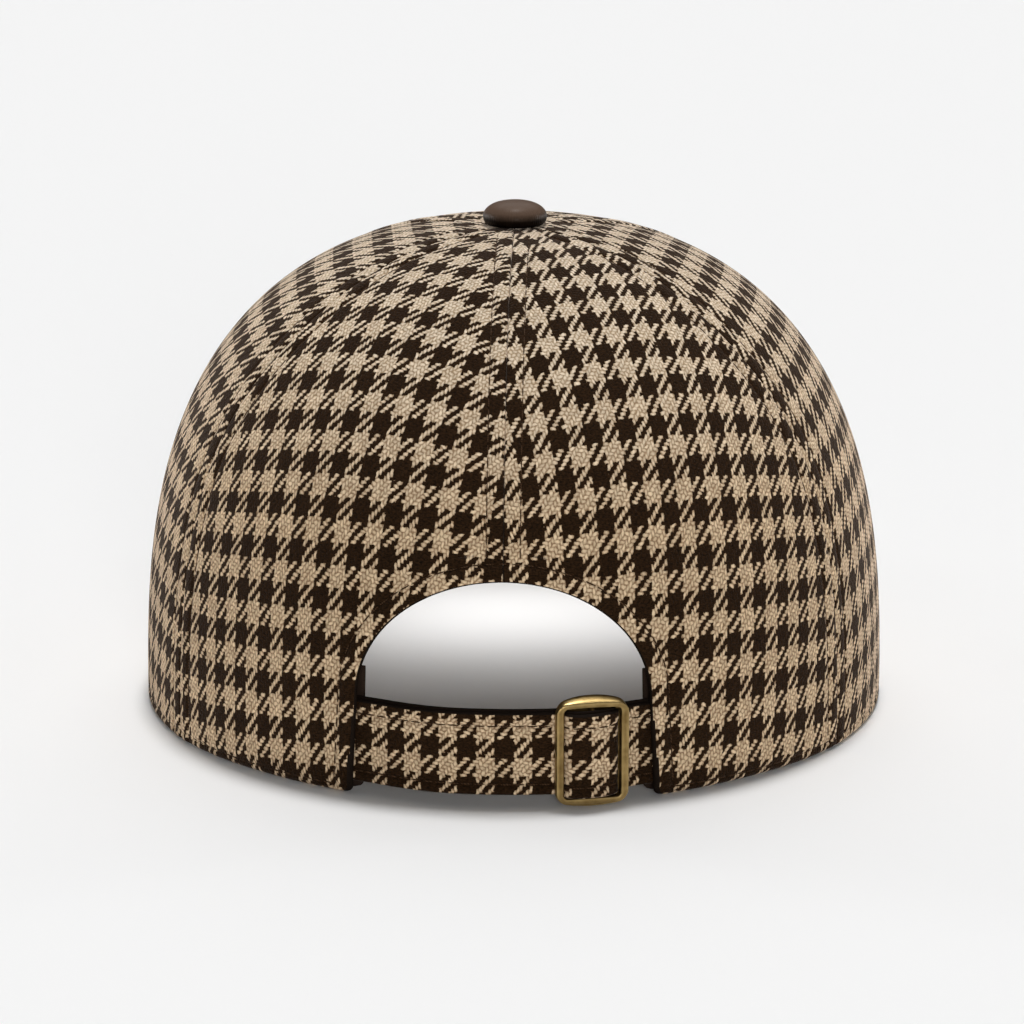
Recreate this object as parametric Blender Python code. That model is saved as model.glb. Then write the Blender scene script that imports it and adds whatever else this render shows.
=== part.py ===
"""A six-panel cloth cap with a front peak, an arched back opening and a buckled back strap.

The crown is one superellipse dome cut into six gores by its seams. It stands on its rim with the back
towards -Y and the peak towards +Y. The wearer's right is +X. Everything is measured from the middle of
the crown on the surface that the cap rests on, and one empty carries all of it.
"""
import math

import bmesh
import bpy
import numpy as np
from mathutils import Vector

MM = 0.001

# Crown, outside. The powers set how full the dome is: 2 would be an ellipsoid.
CROWN_HALF_WIDTH = 88.5 * MM
CROWN_HALF_LENGTH = 100.3 * MM
CROWN_HEIGHT = 113.5 * MM
SPREAD_POWER = 2.48
LIFT_POWER = 2.75
GORES = 6
WALL = 1.8 * MM
SEAM_GAP = 0.4 * MM
APEX_HOLE_RADIUS = 3.0 * MM
GORE_COLUMNS = 10
GORE_ROWS = 16
# The seams beside the ears lean away from them higher up, over this run of the climb: wider side gores.
SEAM_LEAN = math.radians(8.6)
SEAM_LEAN_START = 0.25
SEAM_LEAN_RUN = 0.5

# Two thin bodies that touch keep this much air between them.
CLEAR = 0.3 * MM

# Arched back opening: a half ellipse that stands on two legs, which spread a little towards the rim.
ARCH_HALF_WIDTH = 33.3 * MM
ARCH_FOOT_HALF_WIDTH = 34.5 * MM
ARCH_SPRING_HEIGHT = 23.1 * MM
ARCH_TOP_HEIGHT = 50.8 * MM
ARCH_SEGMENTS = 28
# The solid that cuts it starts this far below the rim and outside the crown, and is this deep.
CUTTER_SPARE = 5.0 * MM
CUTTER_DEPTH = 45.0 * MM

# Peak: its root follows the rim, which rises over the brow, and its edge is a full oval.
PEAK_CORNER_TURN = math.radians(112)
BROW_RISE = 13.0 * MM
PEAK_THICKNESS = 3.0 * MM
PEAK_PROJECTION = 68.0 * MM
PEAK_HALF_WIDTH = 86.0 * MM
PEAK_EDGE_POWER = 2.3
PEAK_EDGE_RISE = 10.5 * MM
PEAK_CAMBER = 2.0 * MM
PEAK_GAP = 0.4 * MM
PEAK_COLUMNS = 30
PEAK_ROWS = 7

# Sweatband
BAND_THICKNESS = 1.2 * MM
BAND_FOOT = 0.6 * MM
BAND_HEIGHT = 28.9 * MM
BAND_END_TURN = math.radians(22.3)
# Past the strap's ends the band comes back to the gores over this much turn.
BAND_EASE_START = math.radians(1.0)
BAND_EASE_TURN = math.radians(9.0)
BAND_COLUMNS = 52
BAND_ROWS = 3

# Strap: it lies inside the back gores at both ends and bows out level with the crown between them.
STRAP_THICKNESS = 1.8 * MM
STRAP_FOOT = 3.0 * MM
STRAP_TOP = 22.2 * MM
STRAP_END_TURN = math.radians(31.0)
STRAP_INSIDE_TURN = math.radians(23.0)
STRAP_LEVEL_TURN = math.radians(8.0)
STRAP_SEAT = 0.6 * MM
STRAP_ROWS = 4
STRAP_STEP = 2.4 * MM
STRAP_FINE_STEP = 0.8 * MM

# Buckle: a rounded frame round a centre bar, with its top and bottom members bowed outwards.
BUCKLE_TURN = math.radians(13.0)
BUCKLE_MIDDLE_HEIGHT = 13.1 * MM
BUCKLE_WIDTH = 16.8 * MM
BUCKLE_HEIGHT = 22.6 * MM
BUCKLE_BOW = 1.35 * MM
BUCKLE_CORNER = 2.6 * MM
BUCKLE_DEPTH = 2.0 * MM
BUCKLE_SEAT = 0.1 * MM
BUCKLE_ROUNDING = 0.45 * MM
WINDOW_WIDTH = 13.0 * MM
WINDOW_HEIGHT = 19.1 * MM
WINDOW_CORNER = 1.3 * MM
CORNER_SEGMENTS = 4
MEMBER_SEGMENTS = 6
BAR_RADIUS = 0.7 * MM
BAR_DEPTH = 0.9 * MM
BAR_RUN_IN = 0.8 * MM
BAR_SIDES = 12
# Where the strap passes over the bar it stands out and is pinched a little, which eases off beside it.
LOOP_HALF_WIDTH = 6.2 * MM
LOOP_EASE = 2.0 * MM
LOOP_RISE = 3.75 * MM
LOOP_FOOT = 3.9 * MM
LOOP_TOP = 22.2 * MM

# Top button
BUTTON_RADIUS = 7.25 * MM
BUTTON_FOOT_RADIUS = 6.5 * MM
BUTTON_WAIST = 1.7 * MM
BUTTON_DOME = 3.95 * MM
BUTTON_FULLNESS = 0.85
RIVET_RADIUS = 2.4 * MM
RIVET_LENGTH = 2.6 * MM
BUTTON_SIDES = 28
WAIST_STEPS = 4
DOME_STEPS = 8

# The whole cap's footprint is centred: from the buckle's face to the tip of the peak.
BACK_REACH = 102.2 * MM
FRONT_REACH = CROWN_HALF_LENGTH + PEAK_PROJECTION
CROWN_MIDDLE = Vector((0.0, (BACK_REACH - FRONT_REACH) / 2, 0.0))

# Curves are measured through this many points, and slopes over this small a step.
WAY_SAMPLES = 400
SLOPE_STEP = 1e-4


# ---------------------------------------------------------------- the dome

def ease(share):
    """0 up to 0, 1 from 1, and a smooth rise between them."""
    share = min(max(share, 0.0), 1.0)
    return share * share * (3 - 2 * share)


def climb_at_height(height):
    """The dome's climb, from 0 at the base to 1 at the apex, at a height."""
    share = min(max(height / CROWN_HEIGHT, 0.0), 1.0)
    return 2 / math.pi * math.asin(share ** (LIFT_POWER / 2))


def climb_at_radius(radius):
    """The climb where the dome has shrunk to a radius."""
    share = radius / CROWN_HALF_WIDTH
    return 2 / math.pi * math.acos(share ** (SPREAD_POWER / 2))


def dome(turn, climb):
    """A point outside on the crown. turn is the angle round from the back, towards +X."""
    spread = math.cos(climb * math.pi / 2) ** (2 / SPREAD_POWER)
    lift = math.sin(climb * math.pi / 2) ** (2 / LIFT_POWER)
    return Vector((
        CROWN_HALF_WIDTH * spread * math.sin(turn),
        -CROWN_HALF_LENGTH * spread * math.cos(turn),
        CROWN_HEIGHT * lift,
    ))


def dome_normal(turn, climb):
    """The way straight out of the crown at a point."""
    across = dome(turn + SLOPE_STEP, climb) - dome(turn - SLOPE_STEP, climb)
    up = dome(turn, climb + SLOPE_STEP) - dome(turn, max(climb - SLOPE_STEP, 0.0))
    return across.cross(up).normalized()


def inside_dome(turn, height, depth):
    """A point a depth in from the crown's outside."""
    climb = climb_at_height(height)
    return dome(turn, climb) - depth * dome_normal(turn, climb)


def seam_turn(seam, climb):
    """Where a seam, counted from the back, crosses the dome at a climb."""
    turn = seam * 2 * math.pi / GORES
    return turn - SEAM_LEAN * ease((climb - SEAM_LEAN_START) / SEAM_LEAN_RUN) * math.sin(2 * turn)


def brow_rise(turn):
    """How far the rim stands above the table: nothing at the back and sides, most at the front."""
    from_front = abs(math.pi - turn % (2 * math.pi))
    share = max(1 - from_front / (math.pi - PEAK_CORNER_TURN), 0.0)
    return BROW_RISE * (1 - math.cos(math.pi * share)) / 2


def even_climbs(turn):
    """Climbs and the share of the way up the dome that each has covered, for spacing rows evenly."""
    climbs = np.linspace(0.0, 1.0, WAY_SAMPLES)
    points = np.array([dome(turn, climb) for climb in climbs])
    steps = np.linalg.norm(np.diff(points, axis=0), axis=1)
    way = np.concatenate(([0.0], np.cumsum(steps)))
    return climbs, way / way[-1]


# ---------------------------------------------------------------- making objects

def sheet(columns, rows, place):
    """A grid of faces whose points are placed by place(across, up), both from 0 to 1."""
    mesh = bmesh.new()
    bmesh.ops.create_grid(mesh, x_segments=columns, y_segments=rows, size=0.5)
    for point in mesh.verts:
        point.co = place(point.co.x + 0.5, point.co.y + 0.5)
    return mesh


def face_away(mesh, centre):
    """Turns the faces so that they look away from a point."""
    mesh.normal_update()
    looks_out = 0.0
    for face in mesh.faces:
        looks_out += face.normal.dot(face.calc_center_median() - centre) * face.calc_area()
    if looks_out < 0:
        bmesh.ops.reverse_faces(mesh, faces=mesh.faces)


def material(name, colour, roughness, metallic=0.0):
    made = bpy.data.materials.new(name)
    made.use_nodes = True
    shader = made.node_tree.nodes["Principled BSDF"]
    shader.inputs["Base Color"].default_value = (*colour, 1.0)
    shader.inputs["Roughness"].default_value = roughness
    shader.inputs["Metallic"].default_value = metallic
    return made


def add_part(name, mesh, look, carrier):
    """Makes an object of a bmesh and hangs it on the cap's empty."""
    data = bpy.data.meshes.new(name)
    mesh.to_mesh(data)
    mesh.free()
    data.materials.append(look)
    data.shade_smooth()
    data.set_sharp_from_angle(angle=math.radians(35))
    part = bpy.data.objects.new(name, data)
    part.parent = carrier
    bpy.context.collection.objects.link(part)
    return part


def thicken(part, thickness):
    """Gives a sheet its wall, inwards from the faces."""
    wall = part.modifiers.new("wall", "SOLIDIFY")
    wall.thickness = thickness
    wall.offset = -1.0
    wall.use_even_offset = True


def cut_with(part, tool, operation="DIFFERENCE"):
    """Cuts a part with a helper, or joins the helper to it."""
    cut = part.modifiers.new(operation.lower(), "BOOLEAN")
    cut.operation = operation
    cut.solver = "EXACT"
    cut.object = tool


def make_helper(tool):
    tool.display_type = "WIRE"
    tool.hide_render = True


# ---------------------------------------------------------------- the pieces

def build_arch_cutter(look, carrier):
    """The solid that the back opening is cut with: the arch, run through the back wall along Y."""
    outline = [(ARCH_FOOT_HALF_WIDTH, -CUTTER_SPARE)]
    for step in range(ARCH_SEGMENTS + 1):
        angle = math.pi * step / ARCH_SEGMENTS
        rise = (ARCH_TOP_HEIGHT - ARCH_SPRING_HEIGHT) * math.sin(angle)
        outline.append((ARCH_HALF_WIDTH * math.cos(angle), ARCH_SPRING_HEIGHT + rise))
    outline.append((-ARCH_FOOT_HALF_WIDTH, -CUTTER_SPARE))
    mesh = bmesh.new()
    start = -CROWN_HALF_LENGTH - CUTTER_SPARE
    corners = [mesh.verts.new((x, start, z)) for x, z in outline]
    front = mesh.faces.new(corners)
    grown = bmesh.ops.extrude_face_region(mesh, geom=[front])
    moved = [item for item in grown["geom"] if isinstance(item, bmesh.types.BMVert)]
    bmesh.ops.translate(mesh, verts=moved, vec=(0, CUTTER_DEPTH, 0))
    bmesh.ops.recalc_face_normals(mesh, faces=mesh.faces)
    cutter = add_part("arch_cutter", mesh, look, carrier)
    make_helper(cutter)
    return cutter


def build_gore(name, seam, look, carrier):
    """One of the six gores, from the seam with this number, counted from the back, to the next."""
    climbs, way = even_climbs(seam_turn(seam + 0.5, 0.0))
    top = np.interp(climb_at_radius(APEX_HOLE_RADIUS), climbs, way)

    def place(across, up):
        rim = climb_at_height(brow_rise(seam_turn(seam + across, 0.0)))
        low = np.interp(rim, climbs, way)
        climb = float(np.interp(low + (top - low) * up, way, climbs))
        first, last = seam_turn(seam, climb), seam_turn(seam + 1, climb)
        turn = first + across * (last - first)
        point = dome(turn, climb)
        set_in = SEAM_GAP / 2 / math.hypot(point.x, point.y) * (1 - 2 * across)
        return dome(turn + set_in, climb)

    mesh = sheet(GORE_COLUMNS, GORE_ROWS, place)
    face_away(mesh, Vector((0, 0, CROWN_HEIGHT / 4)))
    gore = add_part(name, mesh, look, carrier)
    thicken(gore, WALL)
    return gore


def band_depth(turn):
    """How far in from the crown the sweatband's outer face is: more where the strap's ends are behind it."""
    close = WALL + CLEAR
    behind_strap = WALL + STRAP_SEAT + STRAP_THICKNESS + CLEAR
    from_back = min(turn, 2 * math.pi - turn)
    share = ease((from_back - STRAP_END_TURN - BAND_EASE_START) / BAND_EASE_TURN)
    return behind_strap + (close - behind_strap) * share


def build_sweatband(look, carrier):
    """The band inside the rim, open across the back opening."""
    def place(across, up):
        turn = BAND_END_TURN + across * (2 * math.pi - 2 * BAND_END_TURN)
        foot = brow_rise(turn) + BAND_FOOT
        return inside_dome(turn, foot + up * BAND_HEIGHT, band_depth(turn))

    mesh = sheet(BAND_COLUMNS, BAND_ROWS, place)
    face_away(mesh, Vector((0, 0, CROWN_HEIGHT / 4)))
    band = add_part("sweatband", mesh, look, carrier)
    thicken(band, BAND_THICKNESS)


def strap_depth(turn):
    """How far the strap's outer face is in from the crown's outside."""
    share = (abs(turn) - STRAP_LEVEL_TURN) / (STRAP_INSIDE_TURN - STRAP_LEVEL_TURN)
    return (WALL + STRAP_SEAT) * ease(share)


def strap_way():
    """The strap's plan route, as turns and the distance along it from the buckle's middle at each."""
    turns = np.linspace(-STRAP_END_TURN, STRAP_END_TURN, WAY_SAMPLES).tolist()
    points = [inside_dome(turn, 0.0, strap_depth(turn)) for turn in turns]
    steps = [0.0] + [(b - a).length for a, b in zip(points, points[1:])]
    way = np.cumsum(steps)
    return turns, way - np.interp(BUCKLE_TURN, turns, way)


def strap_stations(way):
    """Distances along the strap, close together where it loops over the buckle's bar."""
    fine = LOOP_HALF_WIDTH + LOOP_EASE
    stretches = ((way[0], -fine, STRAP_STEP), (-fine, fine, STRAP_FINE_STEP), (fine, way[-1], STRAP_STEP))
    stations = []
    for start, end, step in stretches:
        count = math.ceil((end - start) / step)
        stations += [start + (end - start) * k / count for k in range(count)]
    return stations + [way[-1]]


def build_strap(look, carrier):
    """The strap: behind the frame's left side, over its bar, behind its right side."""
    turns, way = strap_way()
    stations = strap_stations(way)

    def place(across, up):
        along = stations[round(across * (len(stations) - 1))]
        turn = float(np.interp(along, way, turns))
        loop = math.cos(math.pi / 2 * min(abs(along) / LOOP_HALF_WIDTH, 1.0)) ** 2
        pinch = 1 - ease((abs(along) - LOOP_HALF_WIDTH) / LOOP_EASE)
        foot = STRAP_FOOT + (LOOP_FOOT - STRAP_FOOT) * pinch
        top = STRAP_TOP + (LOOP_TOP - STRAP_TOP) * pinch
        point = inside_dome(turn, 0.0, strap_depth(turn) - LOOP_RISE * loop)
        point.z = foot + (top - foot) * up
        return point

    mesh = sheet(len(stations) - 1, STRAP_ROWS, place)
    face_away(mesh, Vector((0, 0, STRAP_TOP / 2)))
    strap = add_part("strap", mesh, look, carrier)
    thicken(strap, STRAP_THICKNESS)


def rounded_outline(width, height, corner, bow):
    """A rectangle's outline with round corners, whose top and bottom are bowed outwards."""
    half = Vector((width / 2 - corner, height / 2 - corner))
    points = []
    for quarter, (side, level) in enumerate(((1, 1), (-1, 1), (-1, -1), (1, -1))):
        middle = Vector((side * half.x, level * half.y))
        for step in range(CORNER_SEGMENTS + 1):
            angle = math.pi / 2 * (quarter + step / CORNER_SEGMENTS)
            points.append(middle + corner * Vector((math.cos(angle), math.sin(angle))))
        if quarter in (0, 2):
            for step in range(1, MEMBER_SEGMENTS):
                x = half.x * (1 - 2 * step / MEMBER_SEGMENTS)
                points.append(Vector((side * x, level * (half.y + corner))))
    for point in points:
        share = abs(point.x) / (width / 2)
        if abs(point.y) > half.y:
            point.y += math.copysign(bow * (1 - share ** 2), point.y)
    return points


def build_buckle(look, carrier):
    """The frame and its bar, one brass casting, flat against the strap where it turns."""
    seat, beside = (
        inside_dome(turn, 0.0, strap_depth(turn)) for turn in (BUCKLE_TURN, BUCKLE_TURN + SLOPE_STEP)
    )
    along = (beside - seat).normalized()
    out = Vector((along.y, -along.x, 0.0))
    middle = seat + Vector((0, 0, BUCKLE_MIDDLE_HEIGHT))

    def at(x, depth, z):
        return middle + along * x + out * depth + Vector((0, 0, z))

    mesh = bmesh.new()
    front = BUCKLE_SEAT + BUCKLE_DEPTH
    outlines = (
        rounded_outline(BUCKLE_WIDTH, BUCKLE_HEIGHT, BUCKLE_CORNER, BUCKLE_BOW),
        rounded_outline(WINDOW_WIDTH, WINDOW_HEIGHT, WINDOW_CORNER, 0.0),
    )
    edges = []
    for outline in outlines:
        ring = [mesh.verts.new(at(point.x, front, point.y)) for point in outline]
        edges += [mesh.edges.new((a, b)) for a, b in zip(ring, ring[1:] + ring[:1])]
    bmesh.ops.bridge_loops(mesh, edges=edges)
    face_away(mesh, middle - out * CROWN_HALF_WIDTH)
    frame = add_part("buckle", mesh, look, carrier)
    thicken(frame, BUCKLE_DEPTH)
    soften = frame.modifiers.new("soften", "BEVEL")
    soften.width = BUCKLE_ROUNDING
    soften.segments = 2
    soften.limit_method = "ANGLE"

    bar = bmesh.new()
    bmesh.ops.create_cone(bar, cap_ends=True, segments=BAR_SIDES, radius1=BAR_RADIUS, radius2=BAR_RADIUS,
                          depth=WINDOW_HEIGHT + 2 * BAR_RUN_IN)
    bmesh.ops.translate(bar, verts=bar.verts, vec=at(0.0, BAR_DEPTH, 0.0))
    bar = add_part("buckle_bar", bar, look, carrier)
    make_helper(bar)
    cut_with(frame, bar, "UNION")


def build_button(look, carrier):
    """The covered button, turned about the crown's axis, with the rivet that holds it."""
    foot = CROWN_HEIGHT + CLEAR
    profile = [(0.0, foot - RIVET_LENGTH), (RIVET_RADIUS, foot - RIVET_LENGTH), (RIVET_RADIUS, foot)]
    for step in range(WAIST_STEPS):
        angle = math.pi / 2 * step / WAIST_STEPS
        radius = BUTTON_FOOT_RADIUS + (BUTTON_RADIUS - BUTTON_FOOT_RADIUS) * math.sin(angle)
        profile.append((radius, foot + BUTTON_WAIST * (1 - math.cos(angle))))
    for step in range(DOME_STEPS):
        angle = math.pi / 2 * step / DOME_STEPS
        height = foot + BUTTON_WAIST + BUTTON_DOME * math.sin(angle)
        profile.append((BUTTON_RADIUS * math.cos(angle) ** BUTTON_FULLNESS, height))
    profile.append((0.0, foot + BUTTON_WAIST + BUTTON_DOME))
    mesh = bmesh.new()
    points = [mesh.verts.new((radius, 0.0, z)) for radius, z in profile]
    line = [mesh.edges.new(pair) for pair in zip(points, points[1:])]
    bmesh.ops.spin(mesh, geom=points + line, cent=(0, 0, 0), axis=(0, 0, 1), angle=2 * math.pi,
                   steps=BUTTON_SIDES, use_merge=True)
    bmesh.ops.remove_doubles(mesh, verts=mesh.verts, dist=0.01 * MM)
    bmesh.ops.recalc_face_normals(mesh, faces=mesh.faces)
    add_part("top_button", mesh, look, carrier)


def build_peak(look, carrier):
    """The peak: rulings from the brow seam to the oval edge, cambered a little between them."""
    half_sweep = math.pi - PEAK_CORNER_TURN
    corner = dome(PEAK_CORNER_TURN, 0.0)
    edge_length = FRONT_REACH - corner.y

    def place(across, out):
        share = 2 * across - 1
        turn = math.pi - share * half_sweep
        height = brow_rise(turn) + PEAK_THICKNESS
        root = inside_dome(turn, height, -PEAK_GAP)
        angle = share * math.pi / 2
        edge = Vector((
            math.copysign(PEAK_HALF_WIDTH * abs(math.sin(angle)) ** (2 / PEAK_EDGE_POWER), share),
            corner.y + edge_length * abs(math.cos(angle)) ** (2 / PEAK_EDGE_POWER),
            PEAK_THICKNESS + PEAK_EDGE_RISE * math.cos(angle) ** 2,
        ))
        point = root.lerp(edge, out)
        point.z += PEAK_CAMBER * 4 * out * (1 - out) * math.cos(angle)
        return point

    mesh = sheet(PEAK_COLUMNS, PEAK_ROWS, place)
    face_away(mesh, Vector((0, FRONT_REACH / 2, -CROWN_HEIGHT)))
    peak = add_part("peak", mesh, look, carrier)
    thicken(peak, PEAK_THICKNESS)


def build_cap():
    for old in list(bpy.data.objects):
        bpy.data.objects.remove(old)
    carrier = bpy.data.objects.new("cap", None)
    carrier.location = CROWN_MIDDLE
    bpy.context.collection.objects.link(carrier)

    cloth = material("houndstooth_cloth", (0.26, 0.19, 0.12), 0.9)
    brown = material("brown_band_cloth", (0.02, 0.013, 0.009), 0.8)
    leather = material("brown_leather", (0.03, 0.02, 0.016), 0.45)
    brass = material("antique_brass", (0.33, 0.22, 0.09), 0.35, 1.0)

    arch_cutter = build_arch_cutter(cloth, carrier)
    names = ("back_right", "side_right", "front_right", "front_left", "side_left", "back_left")
    for seam, name in enumerate(names):
        gore = build_gore("panel_" + name, seam, cloth, carrier)
        if name.startswith("back"):
            cut_with(gore, arch_cutter)
    build_sweatband(brown, carrier)
    build_strap(cloth, carrier)
    build_buckle(brass, carrier)
    build_button(leather, carrier)
    build_peak(cloth, carrier)


build_cap()
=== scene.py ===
"""A six-panel houndstooth cap, seen from behind: cloth crown with a peak, an arched back opening,
a buckled strap of the same cloth and a leather button.

Shapes are worked out in millimetres from the middle of the crown on the table, with the back towards -Y
and the wearer's right towards +X, and are put into the frame in metres. A turn is an angle round from the
back towards +X. A climb runs from 0 at the table to 1 at the top of the dome.
"""
import math

import bmesh
import bpy
import numpy as np
from mathutils import Matrix, Vector


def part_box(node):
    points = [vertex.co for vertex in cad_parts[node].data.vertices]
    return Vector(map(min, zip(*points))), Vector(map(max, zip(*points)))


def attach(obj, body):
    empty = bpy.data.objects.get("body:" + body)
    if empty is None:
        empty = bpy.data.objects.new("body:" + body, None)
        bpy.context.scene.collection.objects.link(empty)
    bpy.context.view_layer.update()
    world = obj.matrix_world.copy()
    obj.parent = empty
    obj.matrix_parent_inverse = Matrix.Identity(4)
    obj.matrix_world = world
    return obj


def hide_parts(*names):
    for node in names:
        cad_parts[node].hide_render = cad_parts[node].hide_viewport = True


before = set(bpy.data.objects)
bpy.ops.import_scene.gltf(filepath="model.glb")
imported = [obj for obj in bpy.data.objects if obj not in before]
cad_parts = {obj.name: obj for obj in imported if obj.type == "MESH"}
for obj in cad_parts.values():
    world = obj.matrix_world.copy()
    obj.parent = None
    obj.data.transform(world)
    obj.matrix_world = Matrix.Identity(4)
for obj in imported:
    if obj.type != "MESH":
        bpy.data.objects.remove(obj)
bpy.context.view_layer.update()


# ---------------------------------------------------------------- the cloth
# Houndstooth: a 2/2 wool twill with 6 light and 6 dark yarns in turn both ways, brushed a little.
# The stars and their tails are only what the twill makes of the two colours, so each yarn is drawn.

MM = 0.001


def add(tree, kind, inputs=(), **settings):
    """Adds a shader node. Its inputs are numbers, colours, or the nodes and sockets that feed them."""
    made = tree.nodes.new("ShaderNode" + kind)
    for name, value in settings.items():
        setattr(made, name, value)
    named = inputs.items() if isinstance(inputs, dict) else enumerate(inputs)
    for name, value in named:
        if isinstance(value, bpy.types.Node):
            value = value.outputs[0]
        if isinstance(value, bpy.types.NodeSocket):
            tree.links.new(value, made.inputs[name])
        elif value is not None:
            made.inputs[name].default_value = value
    return made


def colour(code):
    """A hex sRGB colour as linear light."""
    parts = [int(code[k:k + 2], 16) / 255 for k in (1, 3, 5)]
    return (*[p / 12.92 if p <= 0.04045 else ((p + 0.055) / 1.055) ** 2.4 for p in parts], 1.0)


def new_material(name):
    """An empty material, and its node tree."""
    made = bpy.data.materials.new(name)
    made.use_nodes = True
    made.node_tree.nodes.clear()
    return made, made.node_tree


# Wool twill, woven and brushed: matt, each yarn a rounded rib, painted lighter on its crest and with
# painted shade in the gap beside it, and loose fibres over it. Places on it, and how far the yarns wander
# and lean, are counted in yarns.
YARNS = 6
FINE_WANDER, SLOW_WANDER = 0.95, 1.2
MOST_LEAN = 0.3
# Heights in the weave: a rib over its edges, a float over its ends, and how much fuller a yarn can be.
RIB_HEIGHT, FLOAT_HEIGHT = 0.6, 0.5
DARK_FULLNESS, CHANCE_FULLNESS = 0.12, 0.22
# Heights over the table between which the painted light on the light yarn grows.
PAINTED_LIGHT_FROM, PAINTED_LIGHT_TO = 61.0, 113.0
twill, tree = new_material("brushed_wool_houndstooth")
threads = add(tree, "UVMap", uv_map="threads")
# The yarns wander a little, and more slowly the whole cloth does.
fine_wander = add(tree, "TexNoise", {"Vector": threads, "Scale": 0.9, "Detail": 1.5})
slow_wander = add(tree, "TexNoise", {"Vector": threads, "Scale": 0.11, "Detail": 1.0})
moved = threads
for wander, far in ((fine_wander, FINE_WANDER), (slow_wander, SLOW_WANDER)):
    centred = add(tree, "VectorMath", (wander.outputs["Color"], (0.5, 0.5, 0.5)), operation="SUBTRACT")
    moved = add(tree, "VectorMath", (centred, (far, far, 0.0), moved), operation="MULTIPLY_ADD")
place = add(tree, "SeparateXYZ", (moved,))
heights, lights, tones = [], [], []
for across, along, start in ((0, 1, -1.0), (1, 0, 0.0)):
    # Warps first, then wefts. A yarn lies on top over two crossings, and dips under the next two.
    number = add(tree, "Math", (place.outputs[across],), operation="FLOOR")
    off_axis = add(tree, "Math", (place.outputs[across], number), operation="SUBTRACT")
    off_axis = add(tree, "Math", (off_axis, 0.5), operation="SUBTRACT")
    float_middle = add(tree, "Math", (number, start), operation="ADD")
    from_middle = add(tree, "Math", (place.outputs[along], float_middle), operation="SUBTRACT")
    lap = add(tree, "Math", (from_middle, 0.25, 0.5), operation="MULTIPLY_ADD")
    lap = add(tree, "Math", (lap,), operation="FLOOR")
    from_middle = add(tree, "Math", (from_middle, 2.0, -2.0), operation="WRAP")
    # No two floats are alike: each stands up, leans and takes the dye a little differently.
    chance = add(tree, "CombineXYZ", (number, lap, float(across)))
    chance = add(tree, "TexWhiteNoise", (chance,), noise_dimensions="3D")
    chance = add(tree, "SeparateXYZ", (chance.outputs["Color"],))
    tones.append(chance.outputs[2])
    lean = add(tree, "Math", (chance.outputs[1], 2 * MOST_LEAN, -MOST_LEAN), operation="MULTIPLY_ADD")
    off_axis = add(tree, "Math", (from_middle, lean, off_axis), operation="MULTIPLY_ADD")
    swing = add(tree, "Math", (from_middle, math.pi / 2), operation="MULTIPLY")
    swing = add(tree, "Math", (swing,), operation="COSINE")
    taper = add(tree, "Math", (from_middle, from_middle), operation="MULTIPLY")
    taper = add(tree, "Math", (taper, 0.3, 1.95), operation="MULTIPLY_ADD")
    side = add(tree, "Math", (off_axis, taper), operation="MULTIPLY")
    side = add(tree, "Math", (side, side), operation="MULTIPLY")
    rib = add(tree, "Math", (1.0, side), operation="SUBTRACT", use_clamp=True)
    rib = add(tree, "Math", (rib,), operation="SQRT")
    rib = add(tree, "Math", (rib, RIB_HEIGHT), operation="MULTIPLY")
    in_repeat = add(tree, "Math", (number, 2.0 * YARNS, 0.0), operation="WRAP")
    lights.append(add(tree, "Math", (in_repeat, YARNS - 0.5), operation="LESS_THAN"))
    # The dark yarn is a little fuller than the light one, and closes over its edges.
    fullness = add(tree, "Math", (lights[-1], -DARK_FULLNESS, rib), operation="MULTIPLY_ADD")
    fullness = add(tree, "Math", (chance.outputs[0], CHANCE_FULLNESS, fullness), operation="MULTIPLY_ADD")
    heights.append(add(tree, "Math", (swing, FLOAT_HEIGHT, fullness), operation="MULTIPLY_ADD"))
warp_on_top = add(tree, "Math", heights, operation="GREATER_THAN")
height = add(tree, "Math", heights, operation="MAXIMUM")
light = add(tree, "Mix", (warp_on_top, None, lights[1], lights[0]))
tone = add(tree, "Mix", (warp_on_top, None, tones[1], tones[0]))
fuzz = add(tree, "TexNoise", {"Vector": threads, "Scale": 2.6, "Detail": 3.0, "Roughness": 0.65})
fibres = add(tree, "Mapping", {"Vector": moved, "Rotation": (0.0, 0.0, 0.9), "Scale": (0.7, 3.2, 1.0)})
fibres = add(tree, "TexNoise", {"Vector": fibres, "Scale": 1.1, "Detail": 2.0})
# Painted light and shade on each yarn: lighter on the crest of its rib, darker in the gaps beside it.
painted_rib_shading = add(tree, "MapRange", (height, 0.5, 1.15, 0.0, 1.0))
painted_rib_shading = add(tree, "Math", (fuzz, 0.5, painted_rib_shading), operation="MULTIPLY_ADD")
painted_rib_shading = add(tree, "Math", (painted_rib_shading, 0.25), operation="SUBTRACT", use_clamp=True)
fibres_and_painted_rib_shading = add(tree, "MapRange", (fibres, 0.35, 0.7, 0.0, 1.0))
fibres_and_painted_rib_shading = add(tree, "Math", (painted_rib_shading, 0.35, fibres_and_painted_rib_shading), operation="MULTIPLY_ADD", use_clamp=True)
# Painted light: the light yarn is painted paler and whiter towards the top of the crown,
# where the light from above falls on it.
here = add(tree, "TexCoord")
level = add(tree, "SeparateXYZ", (here.outputs["Object"],))
painted_top_light = add(tree, "MapRange", (level.outputs[2], PAINTED_LIGHT_FROM * MM, PAINTED_LIGHT_TO * MM, 0.0, 1.0))
painted_lit_crest_colour = add(tree, "MixRGB", (painted_top_light, colour("#EED4AF"), colour("#F1E2CE")))
painted_crevice_shade_colour = add(tree, "MixRGB", (painted_top_light, colour("#94775A"), colour("#AC9474")))
pale = add(tree, "MixRGB", (painted_rib_shading, painted_crevice_shade_colour, painted_lit_crest_colour))
dark = add(tree, "MixRGB", (fibres_and_painted_rib_shading, colour("#120A04"), colour("#322112")))
cloth_colour = add(tree, "MixRGB", (light, dark, pale))
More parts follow.
